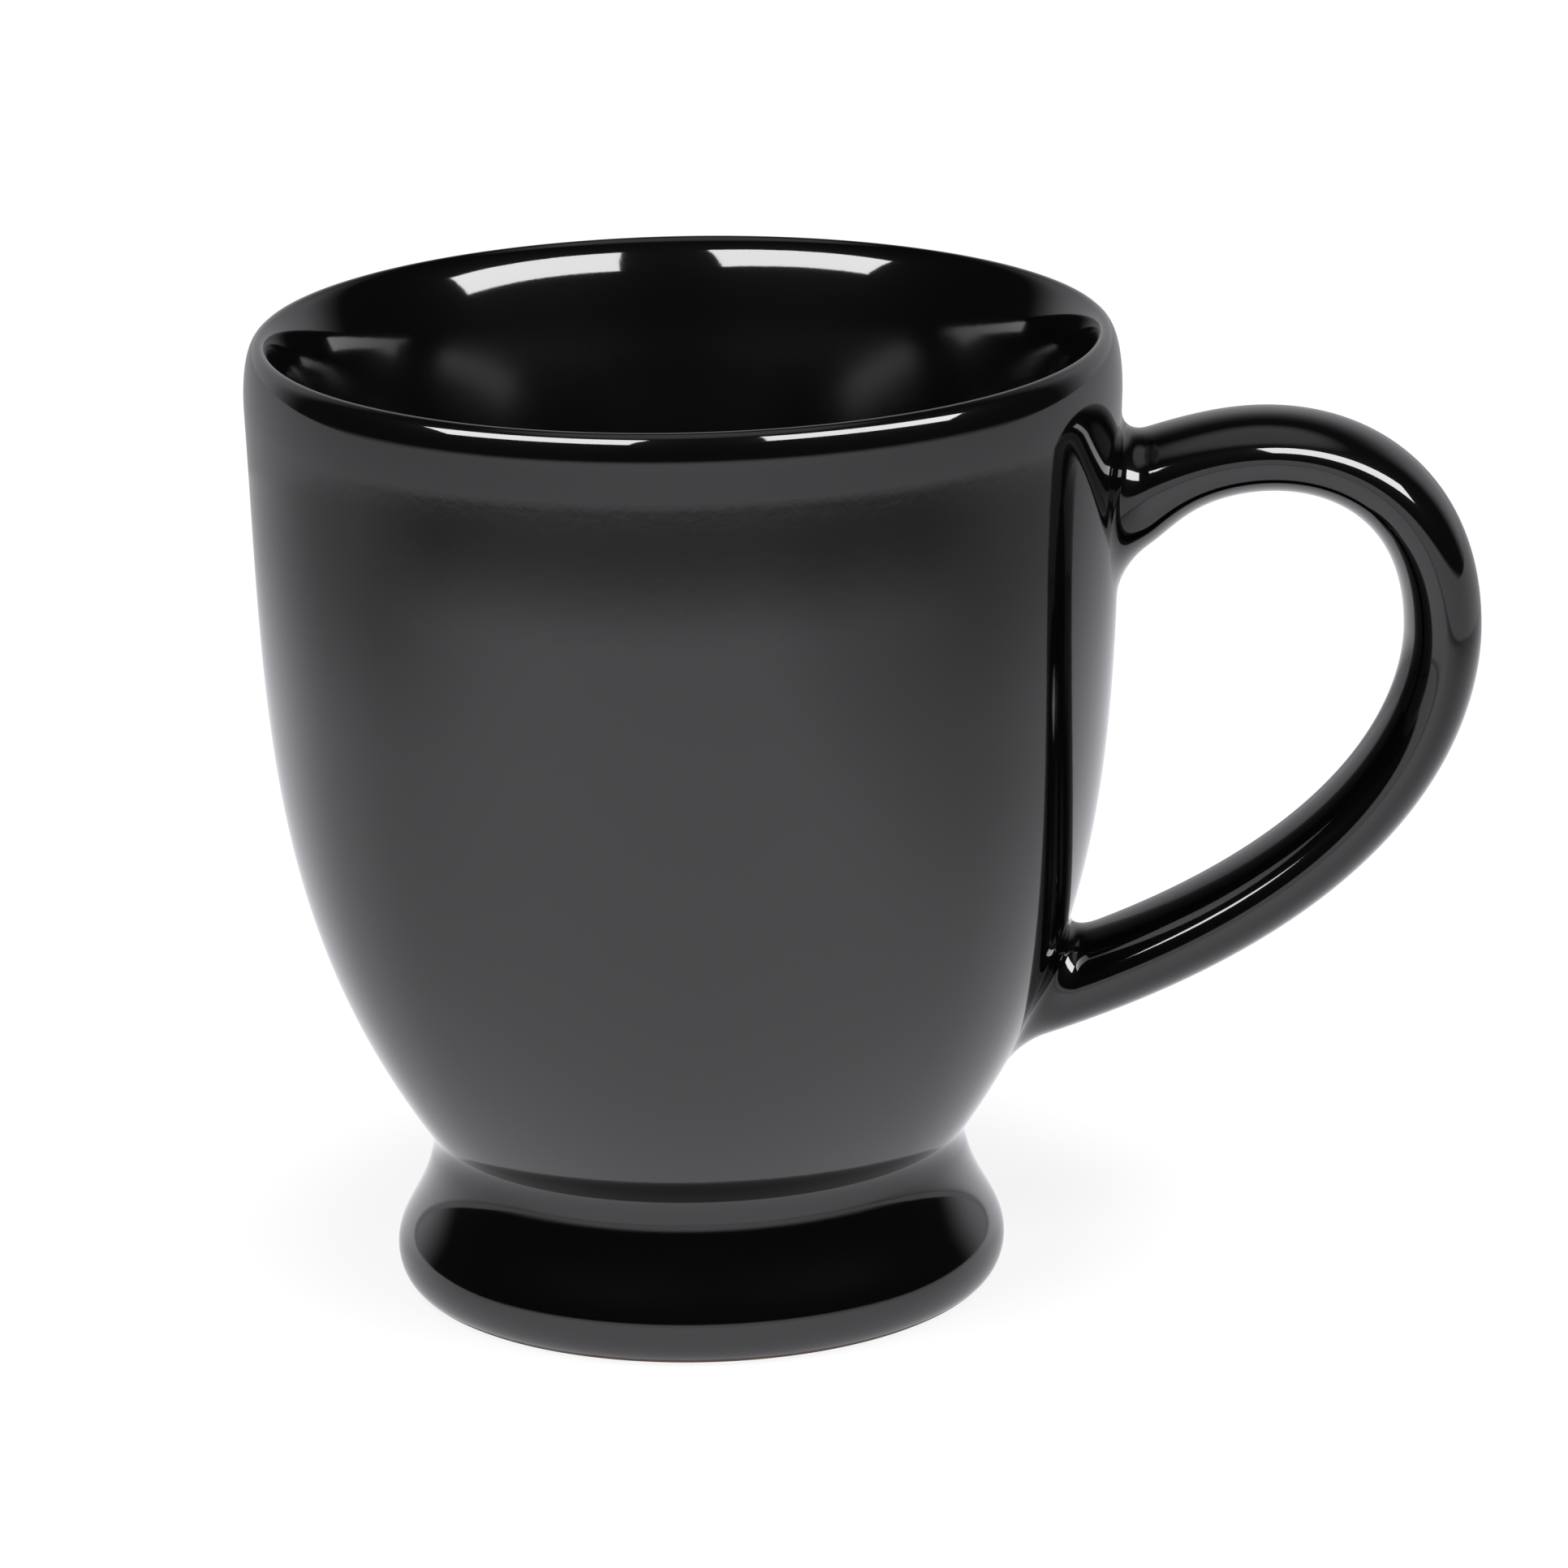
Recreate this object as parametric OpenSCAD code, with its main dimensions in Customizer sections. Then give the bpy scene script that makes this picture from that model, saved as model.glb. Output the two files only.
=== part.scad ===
// Footed stoneware mug with a loop handle, in millimetres.
// The axis of the bowl is Z, the mug stands on Z = 0 and the handle points along +X.

/* [Bowl] */
// Height from the table to the top of the lip
height = 107; // [90:0.5:125]
// Widest outside radius of the bowl, just under the lip
bowl_r = 47.5; // [42:0.1:56]
// Thickness of the wall below its taper
wall = 7.6; // [5:0.1:9]
// Height at which the wall reaches that thickness, going down from the lip
taper_z = 74; // [60:0.5:85]
// Slope at which the bowl leaves the foot, in degrees from level
bowl_rise = 55.7; // [45:0.1:65]
// Lean of the wall under the lip, in degrees from upright
bowl_lean = 2.15; // [0:0.05:5]
// Fullness of the bowl near the foot, as a share of its height
belly_low = 0.38; // [0.25:0.01:0.45]
// Fullness of the bowl near the lip, as a share of its height
belly_high = 0.385; // [0.25:0.005:0.45]

/* [Lip] */
// Depth below the top at which the wall starts to turn into the lip
lip_h = 7.26; // [5:0.01:10]
// Distance from the outside of the wall in to the top of the lip
lip_out = 1.83; // [1:0.01:2.4]
// Distance from the top of the lip in to the inside wall
lip_in = 2.33; // [1.6:0.01:3]
// Depth below the top at which the lip has turned into the inside wall
lip_in_h = 4.68; // [3:0.01:8]
// Lean of the inside wall there, in degrees from upright
lip_lean = 16.9; // [5:0.1:25]

/* [Foot] */
// Widest radius of the foot
foot_r = 33.7; // [31.5:0.1:38]
// Height at which the foot is widest
foot_bulge_z = 3.8; // [2.5:0.1:5]
// Outer radius of the ring that stands on the table
ring_r = 31.4; // [29:0.1:33]
// Width of the ring that stands on the table
ring_w = 4; // [2:0.1:6]
// Radius of the crease between foot and bowl
neck_r = 29.2; // [26:0.1:31]
// Height of the crease between foot and bowl
neck_z = 16.6; // [14:0.1:20]
// Slope at which the foot meets the crease, in degrees from level
foot_rise = 79; // [65:1:88]
// Fullness of the foot above its widest point, as a share of the height from there to the crease
foot_low = 0.26; // [0.15:0.01:0.4]
// Fullness of the foot below the crease, as a share of the same height
foot_high = 0.47; // [0.3:0.01:0.6]
// Length of foot and of bowl that the rounding of the crease takes up
neck_blend = 1.8; // [1:0.1:3]
// Height of the hollow under the foot
hollow_h = 7; // [3:0.1:9]
// Thickness of the bottom above that hollow
base = 8; // [5:0.1:10]

/* [Handle] */
// Distance from the axis to the outermost point of the handle
reach = 86.4; // [78:0.1:98]
// Distance from the top of the lip down to the middle of the upper root
root_drop = 19.35; // [18:0.05:26]
// Height of the middle of the lower root
root_low = 32; // [29:0.1:38]
// Height at which the handle reaches furthest out
grip_z = 73; // [62:0.1:76]
// Climb of the handle as it leaves the upper root, in degrees
climb_top = 35.7; // [15:0.1:38]
// Climb of the handle as it leaves the lower root, in degrees
climb_low = 18; // [5:0.1:25]
// Fullness of the handle over its upper root, as a share of its span
bend_top = 0.51; // [0.4:0.005:0.7]
// Fullness of the handle above its outermost point, as a share of the same span
bend_high = 0.59; // [0.4:0.005:0.7]
// Fullness of the handle below its outermost point, as a share of the height down to the lower root
bend_mid = 0.215; // [0.1:0.005:0.45]
// Fullness of the handle beyond its lower root, as a share of its span there
bend_low = 0.915; // [0.6:0.005:1]
// Width of the handle across the hand
grip_w = 14.6; // [11:0.1:19]
// Thickness of the handle at its outermost point
grip_t = 8.45; // [6:0.05:11]
// Thickness of the handle near the upper root
top_t = 9.6; // [7:0.1:12]
// Thickness of the handle near the lower root
low_t = 9.6; // [7:0.1:12]
// Extra thickness of the handle where it meets the wall at the upper root
swell = 2.2; // [0:0.1:4]
// Length over which that extra thickness dies away
swell_len = 6.4; // [3:0.1:9]
// Radius of the hollow blend above the upper root
top_over = 3.2; // [1.5:0.1:5]
// Radius of the hollow blend beside the upper root
top_side = 3.5; // [1.5:0.1:5]
// Radius of the hollow blend below the upper root
top_under = 3.2; // [1.5:0.1:5]
// Radius of the hollow blend above the lower root
low_over = 3.8; // [1.5:0.1:5]
// Radius of the hollow blend beside the lower root
low_side = 3.5; // [1.5:0.1:5]
// Radius of the hollow blend below the lower root
low_under = 2.6; // [1.5:0.1:5]

/* [Hidden] */
glaze = [0.05, 0.05, 0.055];
$fn = 120;

// Sides of the handle's oval section, rings along the handle and rings in each blend
sides = 28;
rings = 34;
blend_rings = 5;
// How far the handle's ends sink into the wall, and how full the blend curves are
sink = 0.03 * wall;
roundness = 0.6;
// Path length per unit of u in the straight tails that run on into the wall
tail = 100;

// Direction at an angle from level, a unit vector, and the left-hand normal of a vector
function dir(a) = [cos(a), sin(a)];
function unit(v) = v / norm(v);
function left(v) = [-v[1], v[0]];

// Point, tangent and list of points of the cubic curve with control points p
function at(p, t) = pow(1 - t, 3) * p[0] + 3 * pow(1 - t, 2) * t * p[1]
    + 3 * (1 - t) * t * t * p[2] + pow(t, 3) * p[3];
function tangent(p, t) = unit(pow(1 - t, 2) * (p[1] - p[0]) + 2 * (1 - t) * t * (p[2] - p[1])
    + t * t * (p[3] - p[2]));
function curve(p, n) = [for (i = [0 : n - 1]) at(p, i / n)];

// Corners of the outline, as [radius, height]
ring_edge = [ring_r, 0];
bulge = [foot_r, foot_bulge_z];
crease = [neck_r, neck_z];
foot_up = dir(180 - foot_rise);
foot_h = neck_z - foot_bulge_z;
foot_end = crease - neck_blend * foot_up;
bowl_start = crease + neck_blend * dir(bowl_rise);
wall_up = dir(90 - bowl_lean);
wall_top = [bowl_r, height - lip_h];
lip_top = [bowl_r - lip_out, height];
lip_foot = lip_top - [lip_in, lip_in_h];
bowl_h = wall_top[1] - bowl_start[1];
floor_z = hollow_h + base;

// Curves of the outline, from the standing ring up the outside and down the inside
edge_curve = [ring_edge, ring_edge + [0.26 * (foot_r - ring_r), 0], bulge - [0, 0.71 * foot_bulge_z], bulge];
foot_curve = [bulge, bulge + [0, foot_low * foot_h], foot_end - foot_high * foot_h * foot_up, foot_end];
neck_curve = [foot_end, foot_end + roundness * (crease - foot_end),
    bowl_start + roundness * (crease - bowl_start), bowl_start];
bowl_curve = [bowl_start, bowl_start + belly_low * bowl_h * dir(bowl_rise),
    wall_top - belly_high * bowl_h * wall_up, wall_top];
lip_out_curve = [wall_top, wall_top + 0.4 * lip_h * wall_up, lip_top + [0.85 * lip_out, 0], lip_top];
lip_in_curve = [lip_top, lip_top - [0.485 * lip_in, 0],
    lip_foot + 0.6 * lip_in_h * dir(90 - lip_lean), lip_foot];

// Below the lip the wall tapers up to its full thickness, then the inside follows the outside to the floor
function inner_wall(t) = at(bowl_curve, t) + wall * left(tangent(bowl_curve, t));
taper_t = lookup(taper_z, [for (i = [0 : 18]) [at(bowl_curve, i / 18)[1], i / 18]]);
taper_end = inner_wall(taper_t);
taper_h = 0.35 * norm(lip_foot - taper_end);
taper_curve = [lip_foot, lip_foot - taper_h * dir(90 - lip_lean),
    taper_end + taper_h * tangent(bowl_curve, taper_t), taper_end];
inside = [for (i = [0 : 13]) inner_wall(taper_t * (1 - i / 14))];
floor_edge = inner_wall(0);
floor_curve = [floor_edge, floor_edge - 0.8 * (floor_edge[1] - floor_z) * dir(bowl_rise),
    [0.62 * floor_edge[0], floor_z], [0, floor_z]];
hollow_r = ring_r - ring_w;
hollow_curve = [[0, hollow_h], [0.75 * hollow_r, hollow_h], [hollow_r, 0.55 * hollow_h], [hollow_r, 0]];

outline = concat(curve(edge_curve, 8), curve(foot_curve, 8), curve(neck_curve, 5), curve(bowl_curve, 18),
    curve(lip_out_curve, 8), curve(lip_in_curve, 8), curve(taper_curve, 6), inside, curve(floor_curve, 8),
    [[0, floor_z]], curve(hollow_curve, 10), [[hollow_r, 0]]);

// Outside radius of the bowl at a height, and the direction of the wall there
bowl_table = [for (p = curve(bowl_curve, 18)) [p[1], p[0]]];
function wall_r(z) = lookup(z, concat(bowl_table, [[wall_top[1], wall_top[0]]]));
function wall_dir(z) = unit([wall_r(z + 1) - wall_r(z - 1), 2]);

// Centre line of the handle, in the plane of [x, z]: an upper bend and a lower bend
top_root = [wall_r(height - root_drop), height - root_drop];
low_root = [wall_r(root_low), root_low];
outermost = [reach - grip_t / 2, grip_z];
span_top = outermost[0] - top_root[0];
span_low = outermost[0] - low_root[0];
top_bend = [top_root, top_root + bend_top * span_top * dir(climb_top),
    outermost + [0, bend_high * span_top], outermost];
low_bend = [outermost, outermost - [0, bend_mid * (grip_z - root_low)],
    low_root + bend_low * span_low * dir(climb_low), low_root];

// Place and direction on the centre line: u runs from 0 at the upper root to 1 at the lower root
function spine(u) = u < 0 ? top_root + tail * u * dir(climb_top)
    : u > 1 ? low_root - tail * (u - 1) * dir(climb_low)
    : u < 0.5 ? at(top_bend, 2 * u) : at(low_bend, 2 * u - 1);
function spine_dir(u) = u <= 0 ? dir(climb_top) : u >= 1 ? -dir(climb_low)
    : u < 0.5 ? tangent(top_bend, 2 * u) : tangent(low_bend, 2 * u - 1);

// Half the thickness: thinnest at the outermost point, with a swelling at the upper root
function ease(u) = pow(1 - 2 * min(max(u, 0), 1), 2);
function half_t(u) = grip_t / 2 + ease(u) * ((u < 0.5 ? top_t : low_t) - grip_t) / 2
    + swell / 2 * exp(-pow((u <= 0 ? 0 : norm(spine(u) - top_root)) / swell_len, 2));

// Point of the handle's skin at u along it and angle a around its oval section
function skin(u, a) = let (c = spine(u), m = left(spine_dir(u)), t = half_t(u) * cos(a))
    [c[0] + t * m[0], grip_w / 2 * sin(a), c[1] + t * m[1]];
function gap(u, a) = let (p = skin(u, a)) norm([p[0], p[1]]) - wall_r(p[2]);

// The u at which the skin line at angle a stands off the wall by d, found by halving
function stand_off(a, d, near, far, n = 22) = let (mid = (near + far) / 2)
    n == 0 ? mid : gap(mid, a) < d ? stand_off(a, d, mid, far, n - 1) : stand_off(a, d, near, mid, n - 1);

// Place on the wall at arc distance r from the hit point, straight away from the handle
function landing(u, a, r) = let (h = skin(u, a), m = left(spine_dir(u)), w = wall_dir(h[2]),
    e = unit([cos(a) / half_t(u) * (m * w), sin(a) / (grip_w / 2)]),
    z = h[2] + r * e[0] * w[1], q = wall_r(z), b = atan2(h[1], h[0]) + r * e[1] / q * 180 / PI)
    [(q - sink) * cos(b), (q - sink) * sin(b), z];

// One blend line from the skin to the wall: it leaves along the handle and lands along the wall
function blend_line(a, r, near, far) = let (hit = stand_off(a, 0, near, far), h = skin(hit, a),
    s = skin(stand_off(a, r, near, far), a), l = landing(hit, a, r))
    [s, s + roundness * (h - s), l + roundness * (h - l), l];

// Radius of a blend at angle a: from outer on the outer face by way of side to inner on the inner face
function blend_r(a, outer, side, inner) = side + ((cos(a) > 0 ? outer : inner) - side) * pow(cos(a), 2);
function top_r(a) = blend_r(a, top_over, top_side, top_under);
function low_r(a) = blend_r(a, low_under, low_side, low_over);

angles = [for (i = [0 : sides - 1]) 360 * i / sides];
top_blends = [for (a = angles) blend_line(a, top_r(a), -0.12, 0.25)];
low_blends = [for (a = angles) blend_line(a, low_r(a), 1.2, 0.75)];
top_ends = [for (a = angles) stand_off(a, top_r(a), -0.12, 0.25)];
low_ends = [for (a = angles) stand_off(a, low_r(a), 1.2, 0.75)];
handle_rings = concat(
    [for (k = [0 : blend_rings - 1]) [for (b = top_blends) at(b, 1 - k / blend_rings)]],
    [for (k = [0 : rings]) [for (i = [0 : sides - 1])
        skin(top_ends[i] + (low_ends[i] - top_ends[i]) * k / rings, angles[i])]],
    [for (k = [1 : blend_rings]) [for (b = low_blends) at(b, k / blend_rings)]]);

// Closed skin through a list of rings, with a fan to a point at each end
module loft(rows, first, last) {
    n = len(rows[0]);
    m = len(rows);
    points = concat([for (row = rows) each row], [first, last]);
    faces = concat(
        [for (k = [0 : m - 2]) for (i = [0 : n - 1]) let (j = (i + 1) % n)
            each [[k * n + i, k * n + j, (k + 1) * n + i], [k * n + j, (k + 1) * n + j, (k + 1) * n + i]]],
        [for (i = [0 : n - 1]) [m * n, (i + 1) % n, i]],
        [for (i = [0 : n - 1]) [m * n + 1, (m - 1) * n + i, (m - 1) * n + (i + 1) % n]]);
    polyhedron(points, faces);
}

// A point in the middle of the wall behind a root
function behind(p) = let (q = p + wall / 2 * left(wall_dir(p[1]))) [q[0], 0, q[1]];

module bowl_and_foot() {
    rotate_extrude() polygon(outline);
}

module handle() {
    loft(handle_rings, behind(top_root), behind(low_root));
}

module mug() {
    color(glaze) union() {
        bowl_and_foot();
        handle();
    }
}

mug();
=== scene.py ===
# %% [markdown]
# # A footed stoneware mug under black glaze
# This lesson dresses one real object: a thrown mug of about 380 ml, fired in one piece. It has a
# deep bowl, a waisted foot, a rounded lip and a loop handle. A solid of the same mug already
# exists, and its sizes are the frame for all that follows. The skin made here stands where that
# solid stands, in metres, with Z up along the bowl and +X towards the handle.

# %% Load the frame
import math

import bpy
import numpy as np
from mathutils import Matrix, Quaternion, Vector


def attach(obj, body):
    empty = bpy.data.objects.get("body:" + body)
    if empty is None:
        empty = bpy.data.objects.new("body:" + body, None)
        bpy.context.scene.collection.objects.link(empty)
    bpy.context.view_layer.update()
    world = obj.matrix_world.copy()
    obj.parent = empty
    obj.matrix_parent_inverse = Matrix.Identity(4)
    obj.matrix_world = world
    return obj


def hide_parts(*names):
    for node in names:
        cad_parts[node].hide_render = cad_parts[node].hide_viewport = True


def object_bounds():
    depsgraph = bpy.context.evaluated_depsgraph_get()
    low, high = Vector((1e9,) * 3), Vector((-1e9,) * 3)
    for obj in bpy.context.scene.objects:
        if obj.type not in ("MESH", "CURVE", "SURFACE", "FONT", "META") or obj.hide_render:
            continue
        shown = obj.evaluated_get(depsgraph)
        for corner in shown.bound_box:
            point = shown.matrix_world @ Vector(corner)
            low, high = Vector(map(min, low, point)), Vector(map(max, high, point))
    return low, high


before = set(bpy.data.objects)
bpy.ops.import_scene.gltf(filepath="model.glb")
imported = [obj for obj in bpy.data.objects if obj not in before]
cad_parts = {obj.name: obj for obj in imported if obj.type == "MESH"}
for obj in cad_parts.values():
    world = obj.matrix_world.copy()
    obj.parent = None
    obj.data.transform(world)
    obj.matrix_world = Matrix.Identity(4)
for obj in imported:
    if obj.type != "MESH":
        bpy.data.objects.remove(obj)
cad_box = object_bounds()
print("solid model, lowest and highest corner in metres:", cad_box)

# %% [markdown]
# ## Driving sizes
# A potter would give this mug by a few sizes: how wide and tall the bowl is, how thick the wall,
# where the foot pinches in, how far the handle reaches. Everything else follows from them. They
# are in millimetres, as on a drawing, and become metres only when the mesh is made. The height
# and the reach of the handle come from the frame, so that the skin can't drift from the solid.

# %% Sizes of the bowl, the foot and the handle
MM = 0.001
HEIGHT = cad_box[1][2] / MM
REACH = cad_box[1][0] / MM

BOWL_R, WALL, BOWL_RISE, BOWL_LEAN = 47.5, 7.6, 55.7, 2.15
BELLY_LOW, BELLY_HIGH, TAPER_Z = 0.38, 0.385, 74.0
LIP_H, LIP_OUT = 7.26, 1.83
LIP_IN, LIP_IN_H, LIP_LEAN = 3.1, 7.5, 13.0
FOOT_R, FOOT_BULGE_Z, RING_R, RING_W = 33.7, 3.8, 31.4, 4.0
NECK_R, NECK_Z, FOOT_RISE, NECK_BLEND = 29.2, 16.6, 79.0, 1.8
FOOT_LOW, FOOT_HIGH = 0.26, 0.47
HOLLOW_H, BASE, RING_ROUND = 7.0, 8.0, 0.7

ROOT_DROP, ROOT_LOW, GRIP_Z = 19.35, 32.0, 73.0
CLIMB_TOP, CLIMB_LOW = 35.7, 18.0
BEND_TOP, BEND_HIGH, BEND_MID, BEND_LOW = 0.51, 0.59, 0.215, 0.915
GRIP_W, GRIP_T, TOP_T, LOW_T = 14.6, 8.45, 9.6, 9.6
SWELL, SWELL_LEN = 2.2, 6.4
TOP_OVER, TOP_SIDE, TOP_UNDER = 3.2, 3.5, 3.2
LOW_OVER, LOW_SIDE, LOW_UNDER, ROUNDNESS = 3.8, 3.5, 2.6, 0.6
print(f"mug {HEIGHT:.1f} mm tall, handle out to {REACH:.1f} mm")

# %% [markdown]
# ## Curves
# Every line of a thrown pot is a slow curve, and a cubic curve with four control points says such
# a line with few numbers: where it starts, which way it leaves, which way it arrives, where it
# ends. A polygon drawn by hand would need dozens of points and would still show its corners in a
# gloss glaze, which mirrors the room and so betrays every flat.


# %% Cubic curves and directions
FINE = np.linspace(0, 1, 400)


def direction(degrees):
    """Unit vector in the plane of radius and height, at an angle up from level."""
    return np.array([math.cos(math.radians(degrees)), math.sin(math.radians(degrees))])


def cubic(points, t):
    """Points at t of the cubic curve: each control point weighs in by its Bernstein share."""
    t = np.asarray(t, float)[..., None]
    a, b, c, d = (np.asarray(p, float) for p in points)
    return (1 - t) ** 3 * a + 3 * (1 - t) ** 2 * t * b + 3 * (1 - t) * t**2 * c + t**3 * d


def cubic_slope(points, t):
    """Unit tangent at t: the derivative of the cubic, divided by its length."""
    t = np.asarray(t, float)[..., None]
    a, b, c, d = (np.asarray(p, float) for p in points)
    slope = (1 - t) ** 2 * (b - a) + 2 * (1 - t) * t * (c - b) + t**2 * (d - c)
    return slope / np.linalg.norm(slope, axis=-1, keepdims=True)


def left(vectors):
    """The same vectors turned a quarter turn to the left."""
    return np.stack([-vectors[..., 1], vectors[..., 0]], -1)


def run_along(path):
    """Distance travelled at each point of a path: the running sum of the steps' lengths."""
    return np.concatenate([[0], np.cumsum(np.linalg.norm(np.diff(path, axis=0), axis=1))])


def even_steps(points, count):
    """Values of t that cut a cubic curve into count stretches of equal length."""
    run = run_along(cubic(points, FINE))
    return np.interp(np.linspace(0, run[-1], count + 1), run, FINE)


QUARTER = 4 / 3 * (math.sqrt(2) - 1)
round_corner = cubic([[1, 0], [1, QUARTER], [QUARTER, 1], [0, 1]], FINE)
miss = np.ptp(np.linalg.norm(round_corner, axis=1))
print(f"a cubic strays from a quarter circle by {miss:.5f} of its radius")

# %% [markdown]
# ## The outline of the pot
# The bowl and foot are turned on a wheel, so one outline says it all. It starts under the mug in
# the middle of the hollow, goes out to the ring that stands on the table, up over the foot, the
# pinched neck, the bowl and the lip, and down the inside to the middle of the floor. The inside
# is the outside moved in by the thickness of the wall, and the wall tapers towards the lip. Each
# stretch is one cubic curve. Its two middle control points stand along the directions in which it
# leaves and arrives, and a share says how far along.

# %% Where each stretch of the outline starts, as radius and height
crease = np.array([NECK_R, NECK_Z])
foot_up = direction(180 - FOOT_RISE)
bowl_up = direction(BOWL_RISE)
wall_up = direction(90 - BOWL_LEAN)
ring_edge = np.array([RING_R, 0.0])
bulge = np.array([FOOT_R, FOOT_BULGE_Z])
foot_end = crease - NECK_BLEND * foot_up
foot_h = NECK_Z - FOOT_BULGE_Z
bowl_start = crease + NECK_BLEND * bowl_up
wall_top = np.array([BOWL_R, HEIGHT - LIP_H])
lip_top = np.array([BOWL_R - LIP_OUT, HEIGHT])
lip_foot = lip_top - np.array([LIP_IN, LIP_IN_H])
lip_up = direction(90 - LIP_LEAN)
bowl_h = wall_top[1] - bowl_start[1]
floor_z = HOLLOW_H + BASE
hollow_r = RING_R - RING_W
floor_edge = bowl_start + WALL * left(bowl_up)
print("neck at", crease, "mm, bowl from", bowl_start.round(2), "to", wall_top.round(2), "mm")

# %% Cubic curves of the outline
RIGHT, UP = np.array([1.0, 0.0]), np.array([0.0, 1.0])
HOLLOW_FLAT, HOLLOW_SIDE = 0.75, 0.55
EDGE_FLAT, EDGE_SIDE = 0.26, 0.71
LIP_RISE, LIP_ROUND, LIP_FLAT, LIP_FALL = 0.4, 0.85, 0.34, 0.42
FLOOR_SIDE, FLOOR_FLAT = 0.8, 0.62

hollow_line = [
    [0, HOLLOW_H],
    [HOLLOW_FLAT * hollow_r, HOLLOW_H],
    [hollow_r, HOLLOW_SIDE * HOLLOW_H],
    [hollow_r, RING_ROUND],
]
round_line = [
    [hollow_r, RING_ROUND],
    [hollow_r, (1 - ROUNDNESS) * RING_ROUND],
    [hollow_r + (1 - ROUNDNESS) * RING_ROUND, 0],
    [hollow_r + RING_ROUND, 0],
]
edge_line = [
    ring_edge,
    ring_edge + EDGE_FLAT * (FOOT_R - RING_R) * RIGHT,
    bulge - EDGE_SIDE * FOOT_BULGE_Z * UP,
    bulge,
]
foot_line = [bulge, bulge + FOOT_LOW * foot_h * UP, foot_end - FOOT_HIGH * foot_h * foot_up, foot_end]
neck_line = [
    foot_end,
    foot_end + ROUNDNESS * (crease - foot_end),
    bowl_start + ROUNDNESS * (crease - bowl_start),
    bowl_start,
]
bowl_line = [
    bowl_start,
    bowl_start + BELLY_LOW * bowl_h * bowl_up,
    wall_top - BELLY_HIGH * bowl_h * wall_up,
    wall_top,
]
lip_out_line = [
    wall_top,
    wall_top + LIP_RISE * LIP_H * wall_up,
    lip_top + LIP_ROUND * LIP_OUT * RIGHT,
    lip_top,
]
lip_in_line = [
    lip_top,
    lip_top - LIP_FLAT * LIP_IN * RIGHT,
    lip_foot + LIP_FALL * LIP_IN_H * lip_up,
    lip_foot,
]
floor_line = [
    floor_edge,
    floor_edge - FLOOR_SIDE * (floor_edge[1] - floor_z) * bowl_up,
    [FLOOR_FLAT * floor_edge[0], floor_z],
    [0, floor_z],
]
print(f"the bowl's curve is {run_along(cubic(bowl_line, FINE))[-1]:.1f} mm long")

# %% Points along the outline
HOLLOW_ROWS, ROUND_ROWS, RING_ROWS, EDGE_ROWS, FOOT_ROWS, NECK_ROWS = 16, 4, 4, 12, 18, 8
BOWL_ROWS, LIP_ROWS, LIP_IN_ROWS, TAPER_ROWS, INNER_ROWS, FLOOR_ROWS = 94, 18, 22, 26, 35, 16
TAPER_HOLD = 0.35
bowl_t = even_steps(bowl_line, BOWL_ROWS)


def wall_points(rows):
    """Outside of the bowl at a row number, whole or not: the cubic at that row's even step."""
    return cubic(bowl_line, np.interp(rows, np.arange(BOWL_ROWS + 1), bowl_t))


def inner_wall(t):
    """Inside of the wall: the outside cubic at t, moved along its normal by the wall's thickness."""
    return cubic(bowl_line, t) + WALL * left(cubic_slope(bowl_line, t))


def stretch(points, count):
    """Evenly spaced points of a cubic curve, without its last one."""
    return cubic(points, even_steps(points, count))[:-1]


taper_t = np.interp(TAPER_Z, cubic(bowl_line, FINE)[:, 1], FINE)
taper_end, taper_up = inner_wall(taper_t), cubic_slope(bowl_line, taper_t)
taper_h = TAPER_HOLD * np.linalg.norm(lip_foot - taper_end)
taper_line = [lip_foot, lip_foot - taper_h * lip_up, taper_end + taper_h * taper_up, taper_end]

under = np.concatenate(
    [
        stretch(hollow_line, HOLLOW_ROWS),
        stretch(round_line, ROUND_ROWS),
        np.linspace(round_line[-1], ring_edge, RING_ROWS + 1)[:-1],
        stretch(edge_line, EDGE_ROWS),
        stretch(foot_line, FOOT_ROWS),
        stretch(neck_line, NECK_ROWS),
    ]
)
bowl = wall_points(np.arange(BOWL_ROWS))
over = np.concatenate(
    [
        stretch(lip_out_line, LIP_ROWS),
        stretch(lip_in_line, LIP_IN_ROWS),
        stretch(taper_line, TAPER_ROWS),
        inner_wall(np.linspace(taper_t, 0, INNER_ROWS + 1))[:-1],
        stretch(floor_line, FLOOR_ROWS),
        [[0, floor_z]],
    ]
)
outline = np.concatenate([under, bowl, over])
hollow = over[LIP_ROWS:]
slices = math.pi * (hollow[1:, 0] ** 2 + hollow[:-1, 0] ** 2) / 2 * -np.diff(hollow[:, 1])
print(f"outline of {len(outline)} points, the bowl holds {slices.sum() / 1000:.0f} ml to the brim")

# %% [markdown]
# ## The line of the handle
# A pulled handle is a strap of clay: an oval section carried along a centre line. The line leaves
# the wall below the lip, climbs, turns over in a tight upper bend, comes down and runs back into
# the lower bowl in a long low bend. Two cubic curves say it, and they meet upright at the point
# that reaches furthest out. The strap is thinnest there and swells into its upper root.

# %% Radius and slope of the wall at any height
WALL_SAMPLES = 2000
fine_wall = cubic(bowl_line, np.linspace(0, 1, WALL_SAMPLES))


def wall_radius(z):
    """Outside radius of the bowl at height z, read off the bowl's own curve."""
    return np.interp(z, fine_wall[:, 1], fine_wall[:, 0])


def wall_direction(z):
    """Unit tangent of the wall at height z, pointing up, from the radius a little above and below."""
    rise = 0.2
    run = wall_radius(z + rise) - wall_radius(z - rise)
    slope = np.stack([run, np.full_like(run, 2 * rise)], -1)
    return slope / np.linalg.norm(slope, axis=-1, keepdims=True)


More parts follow.
